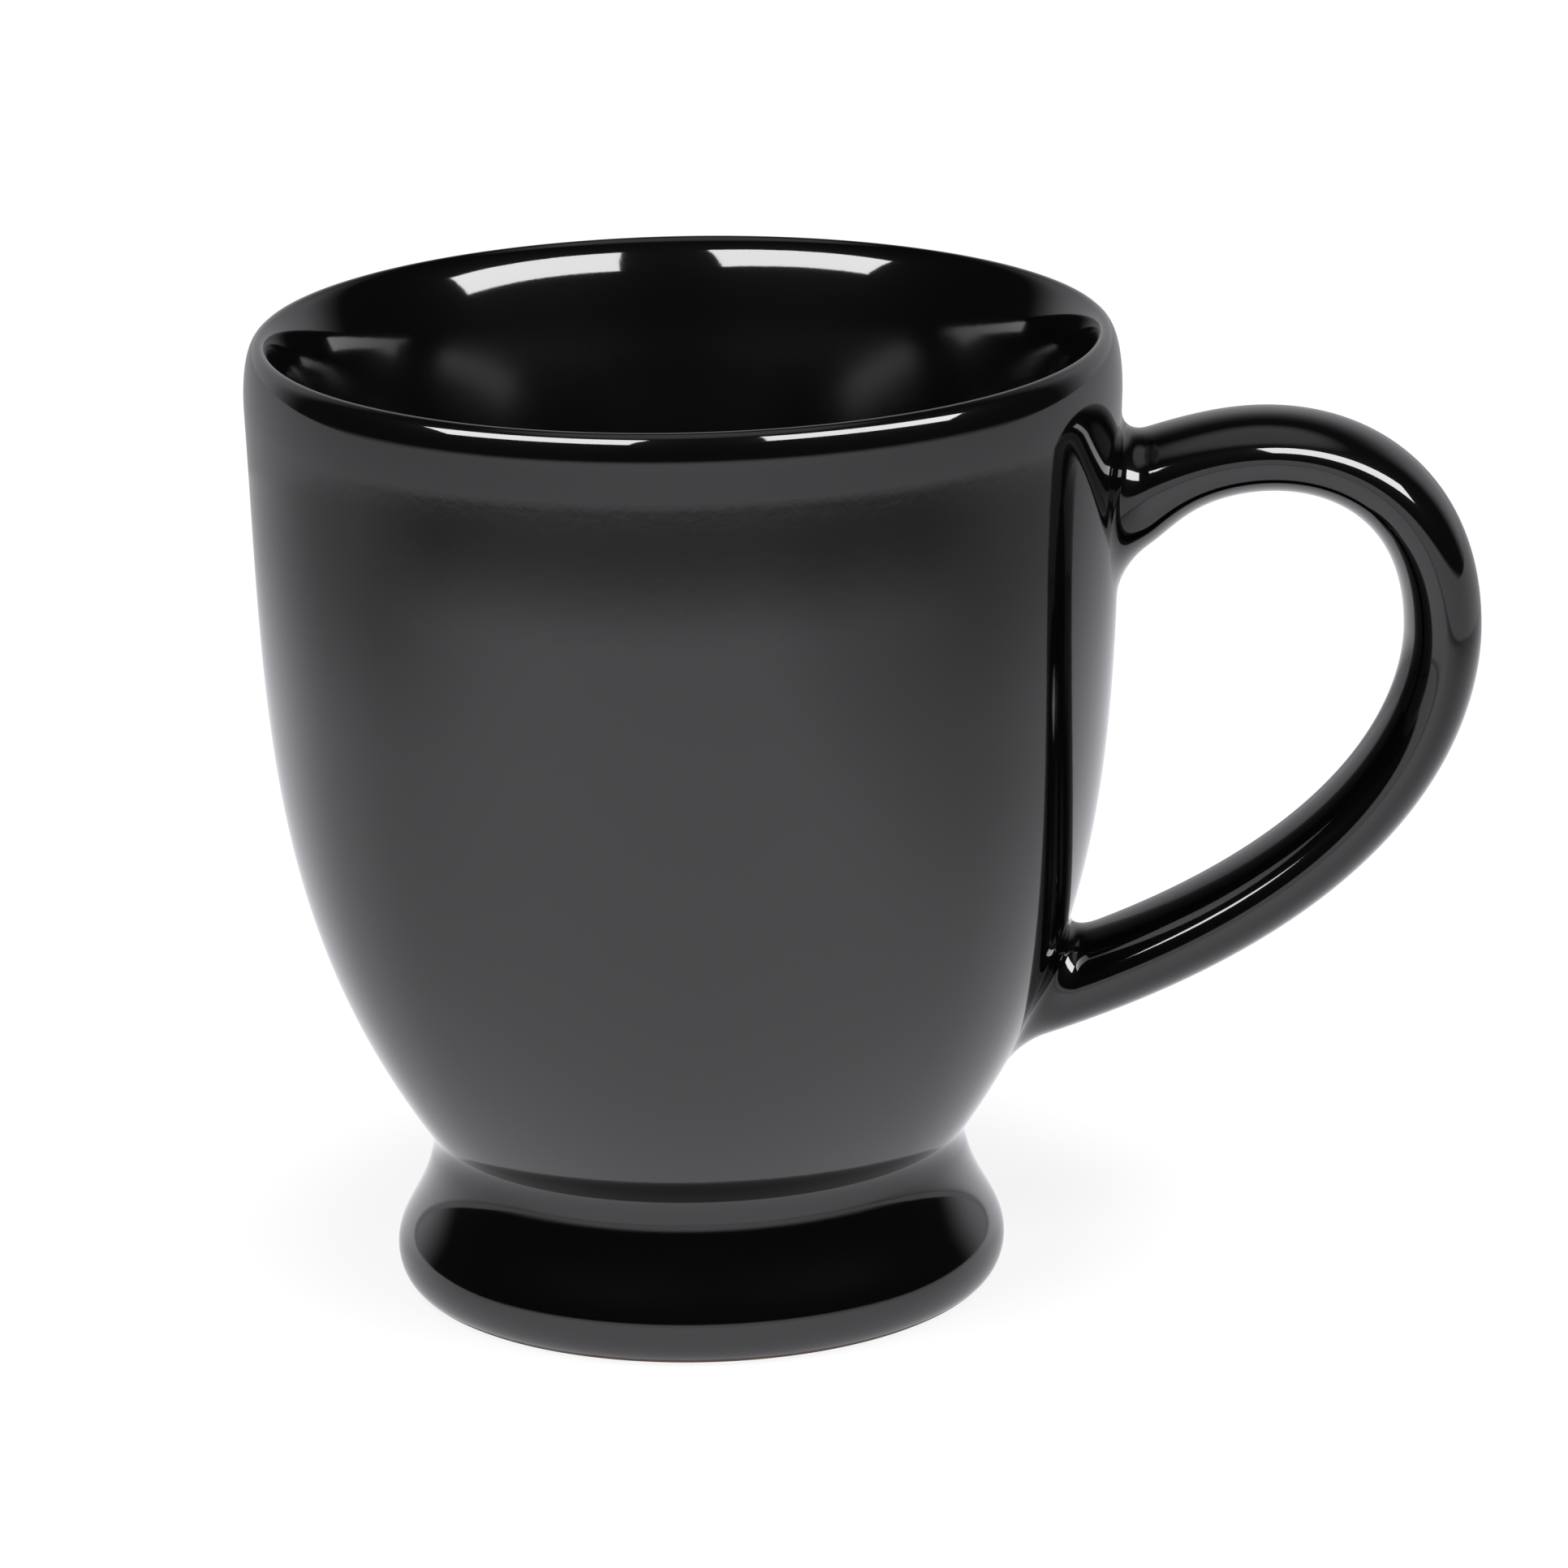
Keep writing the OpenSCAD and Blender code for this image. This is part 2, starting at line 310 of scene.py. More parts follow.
print(f"half way up, the bowl's radius is {wall_radius(HEIGHT / 2):.2f} mm")

# %% Centre line and section of the handle
top_root = np.array([wall_radius(HEIGHT - ROOT_DROP), HEIGHT - ROOT_DROP])
low_root = np.array([wall_radius(ROOT_LOW), ROOT_LOW])
outermost = np.array([REACH - GRIP_T / 2, GRIP_Z])
span_top = outermost[0] - top_root[0]
span_low = outermost[0] - low_root[0]
top_up, low_up = direction(CLIMB_TOP), direction(CLIMB_LOW)
top_bend = [
    top_root,
    top_root + BEND_TOP * span_top * top_up,
    outermost + BEND_HIGH * span_top * UP,
    outermost,
]
low_bend = [
    outermost,
    outermost - BEND_MID * (GRIP_Z - ROOT_LOW) * UP,
    low_root + BEND_LOW * span_low * low_up,
    low_root,
]
TAIL = 100.0


def spine(u):
    """Centre line at u, 0 at the upper root and 1 at the lower, with a straight tail into the wall."""
    u = np.asarray(u, float)
    path = np.where((u < 0.5)[..., None], cubic(top_bend, 2 * u), cubic(low_bend, 2 * u - 1))
    path = np.where((u < 0)[..., None], top_root + TAIL * u[..., None] * top_up, path)
    return np.where((u > 1)[..., None], low_root - TAIL * (u - 1)[..., None] * low_up, path)


def spine_direction(u):
    """Unit direction of travel along the centre line at u."""
    u = np.asarray(u, float)
    way = np.where((u < 0.5)[..., None], cubic_slope(top_bend, 2 * u), cubic_slope(low_bend, 2 * u - 1))
    way = np.where((u <= 0)[..., None], top_up, way)
    return np.where((u >= 1)[..., None], -low_up, way)


def half_thickness(u):
    """Half the strap's thickness: a parabola along it, and a bell-shaped swelling at the upper root."""
    bow = (1 - 2 * np.clip(u, 0, 1)) ** 2
    ends = np.where(u < 0.5, TOP_T, LOW_T)
    away = np.where(u <= 0, 0, np.linalg.norm(spine(u) - top_root, axis=-1))
    return GRIP_T / 2 + bow * (ends - GRIP_T) / 2 + SWELL / 2 * np.exp(-((away / SWELL_LEN) ** 2))


def skin(u, angle):
    """Point of the strap at u and at an angle round its oval section, 0 on its outer face."""
    centre, thick = spine(u), half_thickness(u) * np.cos(angle)
    flat = centre + thick[..., None] * left(spine_direction(u))
    return np.stack([flat[..., 0], GRIP_W / 2 * np.sin(angle), flat[..., 1]], -1)


print(f"the handle's centre line is {run_along(spine(FINE))[-1]:.0f} mm long from wall to wall")

# %% [markdown]
# ## Where handle and wall join
# The potter presses the strap on and wipes the seam with a wet finger, which leaves a small
# hollow curve all round each root. A simple union of two solids has a hard crease there, and a
# gloss glaze would show it at once. So each line along the strap is stopped a little short of the
# wall, and a cubic curve takes it down to the wall, leaving along the strap and landing along the
# wall. The landing points make a closed curve on the bowl, where the skin is cut open for it.

# %% Where the strap stands off the wall
SIDES, HALVINGS = 108, 40
angles = np.arange(SIDES) * 2 * math.pi / SIDES


def stand_off(distance, near, far):
    """The u, for each angle, where the strap stands off the wall by distance: a search by halving."""
    near, far = np.full(SIDES, near), np.full(SIDES, far)
    for _ in range(HALVINGS):
        middle = (near + far) / 2
        p = skin(middle, angles)
        inside = np.hypot(p[:, 0], p[:, 1]) - wall_radius(p[:, 2]) < distance
        near, far = np.where(inside, middle, near), np.where(inside, far, middle)
    return near


def blend_radius(outer, side, inner):
    """Radius of a blend at each angle: outer on the strap's outer face, then side, then inner."""
    return side + (np.where(np.cos(angles) > 0, outer, inner) - side) * np.cos(angles) ** 2


TOP_SPAN, LOW_SPAN = (-0.12, 0.25), (1.2, 0.75)
top_radius = blend_radius(TOP_OVER, TOP_SIDE, TOP_UNDER)
low_radius = blend_radius(LOW_UNDER, LOW_SIDE, LOW_OVER)
top_hit, low_hit = stand_off(0, *TOP_SPAN), stand_off(0, *LOW_SPAN)
print("the strap meets the wall at u from", top_hit.min().round(3), "to", top_hit.max().round(3))
print("and from", low_hit.min().round(3), "to", low_hit.max().round(3))

# %% Blends between strap and wall
BLEND_STEPS, STRAP_STEPS, SHORT = 9, 110, 0.96
wall_z = wall_points(np.arange(BOWL_ROWS + 1))[:, 1]


def on_wall(rows, turn):
    """Point of the bowl's outside at a row number and an angle of turn round the axis."""
    p = wall_points(rows)
    return np.stack([p[..., 0] * np.cos(turn), p[..., 0] * np.sin(turn), p[..., 1]], -1)


def landing(hit, distance):
    """Row and turn at a distance along the wall, straight away from the strap's hit points."""
    p, sideways = skin(hit, angles), np.sin(angles) / (GRIP_W / 2)
    slope = wall_direction(p[:, 2])
    up = np.cos(angles) / half_thickness(hit) * (left(spine_direction(hit)) * slope).sum(1)
    size = np.hypot(up, sideways)
    z = p[:, 2] + distance * up / size * slope[:, 1]
    turn = np.arctan2(p[:, 1], p[:, 0]) + distance * sideways / size / wall_radius(z)
    return np.interp(z, wall_z, np.arange(BOWL_ROWS + 1)), turn


def blend(distance, hit, span):
    """Rows of points from strap to wall, the u where they start, and the landing curve on the wall."""
    start = stand_off(distance, *span)
    rows, turn = landing(hit, distance)
    s, h, end = skin(start, angles), skin(hit, angles), on_wall(rows, turn)
    along = end - on_wall(*landing(hit, SHORT * distance))
    along /= np.linalg.norm(along, axis=1, keepdims=True)
    reach = np.linalg.norm(end - h, axis=1, keepdims=True)
    points = [s, s + ROUNDNESS * (h - s), end - ROUNDNESS * reach * along, end]
    t = np.linspace(0, 1, BLEND_STEPS + 1)[:, None] * np.ones(SIDES)
    return cubic(points, t), start, (rows, turn)


top_blend, top_start, top_cut = blend(top_radius, top_hit, TOP_SPAN)
low_blend, low_start, low_cut = blend(low_radius, low_hit, LOW_SPAN)
share = np.linspace(0, 1, STRAP_STEPS + 1)[:, None]
strap = skin(top_start + (low_start - top_start) * share, np.broadcast_to(angles, (len(share), SIDES)))
handle = np.concatenate([top_blend[::-1], strap[1:-1], low_blend])
print("upper root spans", top_cut[0].min().round(1), "to", top_cut[0].max().round(1), "of the bowl's rows")
print("lower root spans", low_cut[0].min().round(1), "to", low_cut[0].max().round(1))

# %% [markdown]
# ## One closed skin
# The pot is a grid: the outline's points are its rows and steps of turn are its columns. At each
# root a block of cells is left out. The hole that this leaves has as many points round it as the
# landing curve, so a few rings of points between the two, each blended from hole to curve and
# then placed exactly on the wall, close the gap with tidy four-sided faces. Nothing is bridged by
# chance, and the result is one watertight skin, as the fired mug is.

# %% Grid of the pot
TURNS = 240
turns = np.arange(TURNS) * 2 * math.pi / TURNS
first_bowl_row = len(under)
outline_slope = np.gradient(outline, axis=0)
outline_normal = np.stack([outline_slope[:, 1], -outline_slope[:, 0]], 1)
outline_normal /= np.linalg.norm(outline_normal, axis=1, keepdims=True)


def revolve(pairs):
    """Pairs of radius and height, turned round Z into a grid of rows and columns."""
    return np.stack(
        [pairs[:, :1] * np.cos(turns), pairs[:, :1] * np.sin(turns), np.repeat(pairs[:, 1:], TURNS, 1)], -1
    )


def quads(a, b, c, d):
    """Four arrays of corner numbers as a list of four-sided faces."""
    return np.stack([a.ravel(), b.ravel(), c.ravel(), d.ravel()], 1)


pot = revolve(outline[1:-1])
pot_normal = revolve(outline_normal[1:-1])
pot_id = np.arange(pot.shape[0] * TURNS).reshape(-1, TURNS)
next_turn = np.roll(pot_id, -1, 1)
cells = quads(pot_id[:-1], next_turn[:-1], next_turn[1:], pot_id[1:]).reshape(-1, TURNS, 4)
print(f"grid of {pot.shape[0]} rows and {TURNS} columns")

# %% Patches at the roots
PATCH_RINGS = 6
TOP_BLOCK, TOP_HALF = (66, 94), 13
LOW_BLOCK, LOW_HALF = (5, 31), 14


def frame_round(rows, half_turns, from_top):
    """Rows and columns of the points round a block of cells, from the middle of one side, +Y first."""
    low, high = rows
    start, end = (high, low) if from_top else (low, high)
    step = -1 if from_top else 1
    there = [(start, k) for k in range(half_turns)]
    there += [(r, half_turns) for r in range(start, end, step)]
    there += [(end, k) for k in range(half_turns, 0, -1)]
    back = [(r, -k) for r, k in reversed(there[1:])]
    return np.array(there + [(end, 0)] + back)


def patch(rows, half_turns, cut, from_top, first_id):
    """Points, normals and faces between a landing curve and the block of cells left out round it."""
    around = frame_round(rows, half_turns, from_top)
    edge_turn = around[:, 1] * 2 * math.pi / TURNS
    share = np.arange(PATCH_RINGS)[:, None] / PATCH_RINGS
    row = cut[0] + (around[:, 0] - cut[0]) * share
    turn = cut[1] + (edge_turn - cut[1]) * share
    slope = cubic_slope(bowl_line, np.interp(row, np.arange(BOWL_ROWS + 1), bowl_t))
    normal = np.stack([slope[..., 1] * np.cos(turn), slope[..., 1] * np.sin(turn), -slope[..., 0]], -1)
    ids = first_id + np.arange(PATCH_RINGS * SIDES).reshape(-1, SIDES)
    ids = np.concatenate([ids, [pot_id[first_bowl_row - 1 + around[:, 0], around[:, 1] % TURNS]]])
    ahead = np.roll(ids, -1, 1)
    corners = [ids[:-1], ahead[:-1], ahead[1:], ids[1:]]
    faces = quads(*(corners if from_top else corners[::-1]))
    return on_wall(row, turn).reshape(-1, 3), normal.reshape(-1, 3), faces, ids[0]


top_patch = patch(TOP_BLOCK, TOP_HALF, top_cut, True, pot_id.size)
low_patch = patch(LOW_BLOCK, LOW_HALF, low_cut, False, pot_id.size + len(top_patch[0]))

keep = np.ones(cells.shape[:2], bool)
for (low, high), half in ((TOP_BLOCK, TOP_HALF), (LOW_BLOCK, LOW_HALF)):
    rows = first_bowl_row - 1 + np.arange(low, high)
    keep[np.ix_(rows, np.arange(-half, half) % TURNS)] = False
print((~keep).sum(), "cells of the grid make room for the roots")

# %% Pot, patches and strap as one list of points and faces
strap_first = pot_id.size + len(top_patch[0]) + len(low_patch[0])
strap_id = strap_first + np.arange((len(handle) - 2) * SIDES).reshape(-1, SIDES)
strap_id = np.concatenate([[top_patch[3]], strap_id, [low_patch[3]]])
strap_next = np.roll(strap_id, -1, 1)
strap_faces = quads(strap_id[:-1], strap_id[1:], strap_next[1:], strap_next[:-1])
across = np.roll(handle, -1, 1) - np.roll(handle, 1, 1)
strap_normal = np.cross(np.gradient(handle, axis=0), across)
strap_normal /= np.linalg.norm(strap_normal, axis=-1, keepdims=True)

pole = strap_first + (len(handle) - 2) * SIDES
poles = np.array([[0, 0, HOLLOW_H], [0, 0, floor_z]])
fan_low = np.stack([np.full(TURNS, pole), next_turn[0], pot_id[0]], 1)
fan_high = np.stack([np.full(TURNS, pole + 1), pot_id[-1], next_turn[-1]], 1)

pole_normals = np.array([[0, 0, -1], [0, 0, 1]])
between, between_normal = handle[1:-1].reshape(-1, 3), strap_normal[1:-1].reshape(-1, 3)
points = np.concatenate([pot.reshape(-1, 3), top_patch[0], low_patch[0], between, poles])
normals = np.concatenate(
    [pot_normal.reshape(-1, 3), top_patch[1], low_patch[1], between_normal, pole_normals]
)
fours = np.concatenate([cells[keep], top_patch[2], low_patch[2], strap_faces])
threes = np.concatenate([fan_low, fan_high])
used, fours_packed = np.unique(np.concatenate([fours.ravel(), threes.ravel()]), return_inverse=True)
points, normals = points[used], normals[used]
threes = fours_packed[fours.size :].reshape(-1, 3)
fours = fours_packed[: fours.size].reshape(-1, 4)
print(f"skin of {len(points)} points and {2 * len(fours) + len(threes)} triangles")

# %% [markdown]
# ## The skin as one Blender object
# The fired mug is one piece of clay under one coat of glaze, so it is one object with one closed
# mesh. The arrays go in as they are. Each corner also gets the exact direction that the curves
# give for it, so that reflections glide over the facets as they do over real glaze. The solid of
# the same name is hidden, and this skin stands for it.

# %% Put the skin into Blender
mug_mesh = bpy.data.meshes.new("mug_skin")
mug_mesh.from_pydata((points * MM).tolist(), [], fours.tolist() + threes.tolist())
mug_mesh.polygons.foreach_set("use_smooth", np.ones(len(mug_mesh.polygons), bool))
mug_mesh.normals_split_custom_set_from_vertices(normals.tolist())
mug = bpy.data.objects.new("mug_skin", mug_mesh)
bpy.context.scene.collection.objects.link(mug)
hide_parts("mug")
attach(mug, "root")
print("mesh of", len(mug_mesh.polygons), "faces, valid:", not mug_mesh.validate())

# %% [markdown]
# ## Shader maths as plain arithmetic
# A finish is a small sum of patterns. Wired by hand, each plus sign is a node and two links, and
# the idea is lost among them. One class wraps a socket, so that `0.04 + 0.02 * mottle` builds its
# own Math nodes, and its one method `node` adds every other kind.


# %% Sockets that can be added and multiplied
class Wire:
    """A socket of a node tree. Arithmetic on it adds Math nodes, and node() adds any other node."""

    def __init__(self, tree, socket=None):
        self.tree, self.socket = tree, socket

    def node(self, kind, settings=None, inputs=None, out=0):
        """Add a node: settings first, then a value or a wire for each socket; gives one output's wire."""
        made = self.tree.nodes.new("ShaderNode" + kind)
        for name, value in (settings or {}).items():
            setattr(made, name, value)
        for name, value in (inputs or {}).items():
            if isinstance(value, Wire):
                self.tree.links.new(value.socket, made.inputs[name])
            else:
                made.inputs[name].default_value = value
        return Wire(self.tree, made.outputs[out] if len(made.outputs) else None)

    def math(self, operation, a, b):
        """One Math node between two numbers or wires."""
        return self.node("Math", {"operation": operation}, {0: a, 1: b})

    def __add__(self, other):
        return self.math("ADD", self, other)

    def __radd__(self, other):
        return self.math("ADD", other, self)

    def __sub__(self, other):
        return self.math("SUBTRACT", self, other)

    def __rsub__(self, other):
        return self.math("SUBTRACT", other, self)

    def __mul__(self, other):
        return self.math("MULTIPLY", self, other)

    def __rmul__(self, other):
        return self.math("MULTIPLY", other, self)

    def __truediv__(self, other):
        return self.math("DIVIDE", self, other)

    def over(self, low, high):
        """From 0 at low to 1 at high, held outside, with a smooth start and end."""
        limits = {"From Min": low, "From Max": high}
        return self.node("MapRange", {"interpolation_type": "SMOOTHSTEP"}, {"Value": self, **limits})


# %% An empty material to start from
def new_material(name):
    """An empty material, and a wire on its node tree that can add nodes."""
    made = bpy.data.materials.new(name)
    made.use_nodes = True
    made.node_tree.nodes.clear()
    return made, Wire(made.node_tree)


glazed, net = new_material("black_glaze")
print(glazed.name, "starts with", len(glazed.node_tree.nodes), "nodes")

# %% [markdown]
# ## The finish
# The clay is dipped in a black glaze that melts to glass: almost no colour of its own, and a
# mirror on top. What makes it look real is small. The glass is not quite flat, because it pulled
# up over grains of clay as it cooled, which is called orange peel. Its gloss drifts a little from
# place to place, and over the sharp gloss lies a weak blurred one, the haze of a glaze with fine
# crystals in it. Down in the bowl the glaze is a little duller. On the ring that stands on the
# kiln shelf the glaze is wiped off, and the buff clay shows as a thin line with a brown, starved
# edge above it. All of it depends on the place on the mug alone, so it holds still when the
# camera moves. Most of it reads that place from Object coordinates. They don't say by themselves
# which side of the wall a place is on, so each point of the mesh also carries a mark for that.

# %% Mark the inside of the bowl
INSIDE_LEAN, INSIDE_R, INSIDE_TOP = (5.0, 15.0), (45.0, 46.0), (94.0, 103.0)


def ease(values, low, high):
    """From 0 at low to 1 at high with a smooth start and end: 3t² - 2t³ of the share t on the way."""
    t = np.clip((values - low) / (high - low), 0, 1)
    return t**2 * (3 - 2 * t)


faces_axis = -(points[:, :2] * normals[:, :2]).sum(1)
inside = ease(faces_axis, *INSIDE_LEAN) * (1 - ease(points[:, 2], *INSIDE_TOP))
inside *= 1 - ease(np.hypot(points[:, 0], points[:, 1]), *INSIDE_R)
mug_mesh.attributes.new("inside", "FLOAT", "POINT").data.foreach_set("value", inside)
print(f"{(inside > 0.5).sum()} points lie on the inside wall")


# %% Line where the glaze ends
def noise(place, size_mm, detail=2.0, roughness=0.5):
    """Smooth noise from 0 to 1 whose bumps are about size_mm across."""
    inputs = {"Vector": place, "Scale": 1 / (size_mm * MM), "Detail": detail, "Roughness": roughness}
    return net.node("TexNoise", {"normalize": True}, inputs)


GLAZE_LINE, LINE_FADE, BARE_SHARE = 0.62, 0.26, 0.3
WANDER, WANDER_SIZE, RAGGED, RAGGED_SIZE = 0.25, 9.0, 0.075, 1.2

place = net.node("TexCoord", out="Object")
height = net.node("SeparateXYZ", inputs={"Vector": place}, out="Z")
wander = WANDER * (noise(place, WANDER_SIZE) - 0.5) + RAGGED * (noise(place, RAGGED_SIZE) - 0.5)
above_line = height * (1 / MM) - (GLAZE_LINE + wander)
cover = above_line.over(0.0, BARE_SHARE * LINE_FADE)
body = above_line.over(0.0, LINE_FADE)
print(f"the glaze ends {GLAZE_LINE} mm above the table, give or take {(WANDER + RAGGED) / 2:.2f} mm")

# %% Colours of glaze and clay
GLAZE_BLACK, GLAZE_THIN = (0.0010, 0.0010, 0.0011, 1), (0.045, 0.022, 0.014, 1)
CLAY_BUFF, CLAY_DARK = (0.50, 0.36, 0.29, 1), (0.40, 0.288, 0.232, 1)
GRAIN_SIZE, GRAIN_DETAIL, GRAIN_ROUGHNESS = 0.35, 4.0, 0.6


def mix(share, first, second):
    """Colour from first to second as share goes from 0 to 1. Sockets 6 and 7 are the two colours."""
    return net.node("Mix", {"data_type": "RGBA"}, {"Factor": share, 6: first, 7: second}, out=2)


glaze_colour = mix(body, GLAZE_THIN, GLAZE_BLACK)
clay_colour = mix(noise(place, GRAIN_SIZE, GRAIN_DETAIL, GRAIN_ROUGHNESS), CLAY_DARK, CLAY_BUFF)
colour = mix(cover, clay_colour, glaze_colour)
print("the black glaze gives back", GLAZE_BLACK[0], "of the light that enters it")

# %% Gloss, haze and relief
GLAZE_GLOSS, INSIDE_ROUGH, CLAY_ROUGH = 0.05, 0.11, 0.8
DRIFT, DRIFT_SIZE = 0.02, 14.0
GLAZE_IOR, HAZE, HAZE_ROUGH, HAZE_IOR = 1.6, 0.035, 0.38, 1.5
PEEL_DEPTH, PEEL_SIZE, FINE_PEEL, FINE_SIZE = 0.0016, 1.6, 0.35, 0.45
TOOTH_DEPTH, TOOTH_SIZE, TOOTH_DETAIL = 0.03, 0.25, 3.0

down_in = net.node("Attribute", {"attribute_name": "inside"}, out="Fac")
gloss = GLAZE_GLOSS + DRIFT * (noise(place, DRIFT_SIZE) - 0.5) + INSIDE_ROUGH * down_in
rough = CLAY_ROUGH + cover * (gloss - CLAY_ROUGH)
peel = noise(place, PEEL_SIZE, 1.0) + FINE_PEEL * noise(place, FINE_SIZE, 1.0)
tooth = noise(place, TOOTH_SIZE, TOOTH_DETAIL)
relief = cover * (PEEL_DEPTH * peel) + (1 - cover) * (TOOTH_DEPTH * tooth)
bump = net.node("Bump", inputs={"Strength": 1.0, "Distance": MM, "Height": relief})
shell = net.node(
    "BsdfPrincipled",
    inputs={
        "Base Color": colour,
        "Roughness": rough,
        "IOR": GLAZE_IOR,
        "Normal": bump,
        "Coat Weight": HAZE * cover,
        "Coat Roughness": HAZE_ROUGH,
        "Coat IOR": HAZE_IOR,
    },
)
net.node("OutputMaterial", inputs={"Surface": shell})
mug_mesh.materials.append(glazed)
print("glaze of", len(glazed.node_tree.nodes), "nodes")

# %% [markdown]
# ## The table
# A black gloss mug has no look of its own: it is a picture of the room. The bowl leans over the
# table and mirrors it, so the greys of the bowl and foot are the table's brightness, seen dimly.
# The camera sees a plain white table with painted shade close round the mug: there it gives off a little
# less white, so that the real shadow on its matt part shows. What the glaze mirrors is set apart from
# that, and it is painted light: for the glaze alone the table glows, as a round table brightest in front
# and fainter at the sides, to the right and towards its edge, the way lamps would light it, on a paler
# sheet that runs on to the back of the room. Its brightness is worked out from the distance to its middle,
# in metres, and from how much a place lies in front: 1 straight in front of the mug, 0 at its sides and -1
# behind.

# %% Round table on a sheet
TABLE_R, TABLE_BACK, EDGE_SOFT = 0.3545, 0.014, 0.004
FRONT_GLOW, FRONT_TURN = 1.09, (0.1, 0.85)
SIDE_GLOW, SIDE_FALL, SIDE_REACH = 0.75, 0.45, (0.2, 0.345)
BACK_GAIN, BACK_TURN = 0.20, (0.2, 0.75)
RIGHT_FALL, RIGHT_REACH = 0.22, (0.08, 0.2)
CORNER_FALL, CORNER_REACH = 0.06, (0.12, 0.27)
EDGE_FALL, EDGE_REACH, EDGE_TURN = 0.77, (0.299, TABLE_R), (0.0, 0.5)
SHEET_GLOW, SHEET_FRONT = 0.68, 0.28

table_white, net = new_material("table_white")
place = net.node("TexCoord", out="Object")
radius = net.node("VectorMath", {"operation": "DISTANCE"}, {0: place, 1: (0, TABLE_BACK, 0)}, out=1)
to_right = net.node("SeparateXYZ", inputs={"Vector": place}, out="X")
towards = -1.0 * net.node("SeparateXYZ", inputs={"Vector": place}, out="Y") / radius
side = SIDE_GLOW + BACK_GAIN * (-1.0 * towards).over(*BACK_TURN)
side = side * (1 - SIDE_FALL * radius.over(*SIDE_REACH))
front = FRONT_GLOW * (1 - CORNER_FALL * to_right.over(*CORNER_REACH))
lit = side + towards.over(*FRONT_TURN) * (front - side)
lit = lit * (1 - RIGHT_FALL * to_right.over(*RIGHT_REACH))
lit = lit * (1 - EDGE_FALL * towards.over(*EDGE_TURN) * radius.over(*EDGE_REACH))
sheet = SHEET_GLOW + SHEET_FRONT * towards
# Painted light: the glow the glaze mirrors is brightest in front and fades to the sides, the right and the
# edge, as if lamps lit the table.
glow = lit + radius.over(TABLE_R - EDGE_SOFT, TABLE_R + EDGE_SOFT) * (sheet - lit)
print("table of", TABLE_R, "m radius, its pattern takes", len(table_white.node_tree.nodes), "nodes")

# %% White with painted shade for the camera, painted light for the glaze
FLOOR_COLOUR, WHITE = (0.08, 0.08, 0.08, 1), 1.0
SHADE, SHADE_REACH = 0.125, (0.036, 0.068)
ROOM_TINT = (0.99, 0.98, 1.03)
FLOOR_HALF, FLOOR_DROP = 3.0, 0.05 * MM


def tinted(brightness):
    """The faint tint of all that the glaze mirrors, times a brightness."""
    return net.node("VectorMath", {"operation": "SCALE"}, {0: ROOM_TINT, "Scale": brightness})


for_camera = net.node("LightPath", out="Is Camera Ray")
for_gloss = net.node("LightPath", out="Is Glossy Ray")
# Painted shade: the white is given off a little dimmer in a disc round the mug, so that the real shadow on
# the matt part shows there.
white_with_painted_shade = WHITE - SHADE * (1 - radius.over(*SHADE_REACH))
matt = net.node("BsdfDiffuse", inputs={"Color": FLOOR_COLOUR})
white = net.node("Emission", inputs={"Color": white_with_painted_shade, "Strength": for_camera})
# The glaze alone sees the table's painted light.
mirrored = net.node("Emission", inputs={"Color": tinted(glow), "Strength": for_gloss})
lights = net.node("AddShader", inputs={0: white, 1: mirrored})
both = net.node("AddShader", inputs={0: matt, 1: lights})
net.node("OutputMaterial", inputs={"Surface": both})

floor_mesh = bpy.data.meshes.new("table")
corners = [(x, y, -FLOOR_DROP) for x, y in ((-1, -1), (1, -1), (1, 1), (-1, 1))]
floor_mesh.from_pydata([(x * FLOOR_HALF, y * FLOOR_HALF, z) for x, y, z in corners], [], [(0, 1, 2, 3)])
floor = bpy.data.objects.new("table", floor_mesh)
bpy.context.scene.collection.objects.link(floor)
floor_mesh.materials.append(table_white)
print("floor", 2 * FLOOR_HALF, "m across with", len(table_white.node_tree.nodes), "nodes")

# %% [markdown]
# ## The room
# Above the table the room is dark, and that is why the foot's shoulder and the upper side of the
# handle are black. Three things in it are lighter: the sheet goes on up to the horizon, low behind
# the mug a soft glow edges the rim and the handle, and right overhead is a pale ceiling. Each is
# found from the direction of view alone, by how much it points back and how much up. The camera
# sees white instead, and whatever is matt is lit by a little plain light from all round.

# %% World
HORIZON_TILT, HORIZON_DROP, HORIZON_SOFT, HORIZON_GAIN = 0.108, 0.02, 0.035, 0.05
DARK_GLOW, BACK_GLOW, TOP_GLOW = 0.02, 0.58, 0.60
BACK_WIDTH, BACK_FADE, TOP_START = (0.42, 0.75), (0.35, 0.8), (0.86, 0.97)
AMBIENT, PLAIN = 0.2, (1, 1, 1, 1)

world = bpy.data.worlds.new("room")
bpy.context.scene.world = world
world.use_nodes = True
world.node_tree.nodes.clear()
net = Wire(world.node_tree)
way = net.node("TexCoord", out="Generated")
back = net.node("SeparateXYZ", inputs={"Vector": way}, out="Y")
up = net.node("SeparateXYZ", inputs={"Vector": way}, out="Z")
level = net.node("Math", {"operation": "SQRT"}, {0: 1 - up * up})
behind = (back / level).over(*BACK_WIDTH) * (1 - up.over(*BACK_FADE))
dark = DARK_GLOW + (BACK_GLOW - DARK_GLOW) * behind
dark = dark + (TOP_GLOW - dark) * up.over(*TOP_START)
bright = SHEET_GLOW + HORIZON_GAIN - SHEET_FRONT * back
above = up + HORIZON_TILT * back + HORIZON_DROP
around = bright + above.over(-HORIZON_SOFT, HORIZON_SOFT) * (dark - bright)
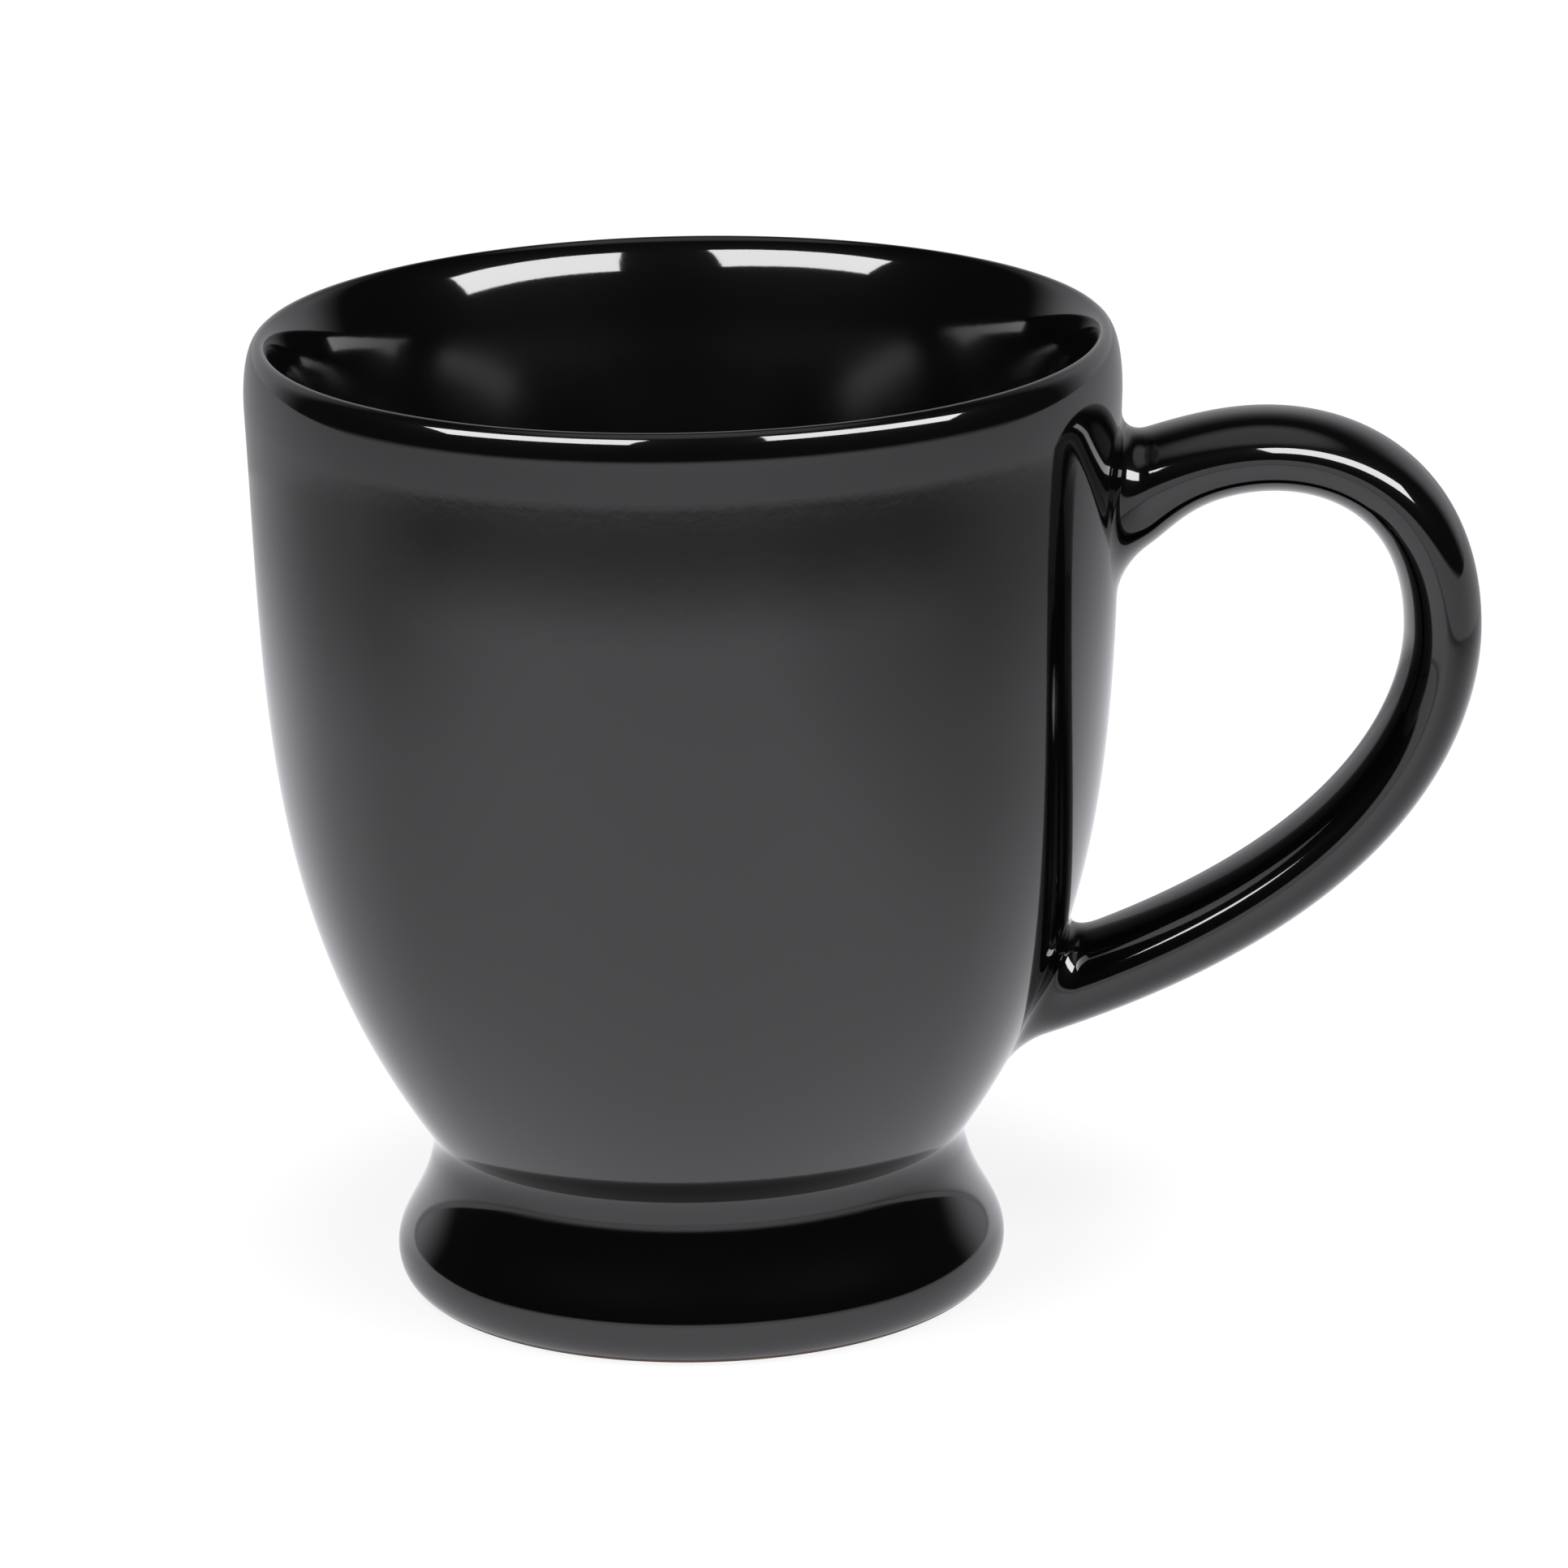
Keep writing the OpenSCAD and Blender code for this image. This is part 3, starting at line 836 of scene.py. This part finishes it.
for_camera = net.node("LightPath", out="Is Camera Ray")
for_gloss = net.node("LightPath", out="Is Glossy Ray")
white = net.node("Background", inputs={"Color": PLAIN, "Strength": WHITE})
mirrored = net.node("Background", inputs={"Color": tinted(around), "Strength": 1.0})
ambient = net.node("Background", inputs={"Color": PLAIN, "Strength": AMBIENT})
unseen = net.node("MixShader", inputs={"Fac": for_gloss, 1: ambient, 2: mirrored})
room = net.node("MixShader", inputs={"Fac": for_camera, 1: unseen, 2: white})
net.node("OutputWorld", inputs={"Surface": room})
print("room of", len(world.node_tree.nodes), "nodes")

# %% [markdown]
# ## Two soft panels
# Two long narrow panels hang close in front of the mug, up to its left and right, and tilt down
# towards it. Gloss shows a lamp as a picture of its shape, so their size and tilt are those of the
# highlights: two bars with a gap between them on the near lip and on the far side of the bowl, and
# small bent ones at the handle's roots.


# %% Panels left and right of the camera
def polar(azimuth, elevation):
    """Unit vector at an azimuth from +X and an elevation above level, both in degrees."""
    a, e = math.radians(azimuth), math.radians(elevation)
    return np.array([math.cos(e) * math.cos(a), math.cos(e) * math.sin(a), math.sin(e)])


def soft_panel(name, place, azimuth, elevation, size, glow):
    """A panel at place, its back turned to azimuth and elevation: power is glow times pi times area."""
    lamp = bpy.data.lights.new(name, "AREA")
    width, tall = (side * MM for side in size)
    lamp.shape, lamp.size, lamp.size_y = "RECTANGLE", width, tall
    lamp.energy = glow * math.pi * width * tall
    back = Vector(polar(azimuth, elevation))
    across = Vector((-math.sin(math.radians(azimuth)), math.cos(math.radians(azimuth)), 0))
    made = bpy.data.objects.new(name, lamp)
    made.location = Vector(place) * MM
    made.rotation_mode = "QUATERNION"
    made.rotation_quaternion = Matrix((across, back.cross(across), back)).transposed().to_quaternion()
    made.visible_camera = False
    bpy.context.scene.collection.objects.link(made)
    print(f"{name}: {size[0]} by {size[1]} mm, {lamp.energy:.2f} W")


PANEL_GLOW = 14.0
soft_panel("lamp_left", (-126, -136, 233), -109, 69, (202, 75), PANEL_GLOW)
soft_panel("lamp_right", (180, -114, 228), -71, 50, (242, 64), PANEL_GLOW)

# %% [markdown]
# ## The camera
# The place of the camera was worked out from the photograph: the ellipses of the rim and foot
# give its height and distance, and the handle its angle round the mug. It stands about 93 cm
# away, 17 degrees up, and its picture is turned by a little over one degree.

# %% Camera
CAMERA_AWAY, CAMERA_AZIMUTH, CAMERA_ELEVATION, PIVOT_Z = 930.67, -87.8, 16.817, 50.0
AIM, CAMERA_ROLL = np.array([10.07, 1.87, 55.16]), -1.068
FOCAL_PER_SIDE, SENSOR = 5.4008, 36.0

seat = CAMERA_AWAY * polar(CAMERA_AZIMUTH, CAMERA_ELEVATION) + PIVOT_Z * np.array([0, 0, 1])
camera_data = bpy.data.cameras.new("camera")
camera_data.sensor_width, camera_data.lens = SENSOR, FOCAL_PER_SIDE * SENSOR
camera_data.clip_start, camera_data.clip_end = 0.05, 20
camera = bpy.data.objects.new("camera", camera_data)
camera.location = seat * MM
camera.rotation_mode = "QUATERNION"
turned = Quaternion((0, 0, 1), math.radians(CAMERA_ROLL))
camera.rotation_quaternion = Vector(seat - AIM).to_track_quat("Z", "Y") @ turned
bpy.context.scene.collection.objects.link(camera)
bpy.context.scene.camera = camera
bpy.context.scene.view_settings.view_transform = "Standard"
print("camera", np.round(seat).astype(int), "mm, lens", round(camera_data.lens, 1), "mm")
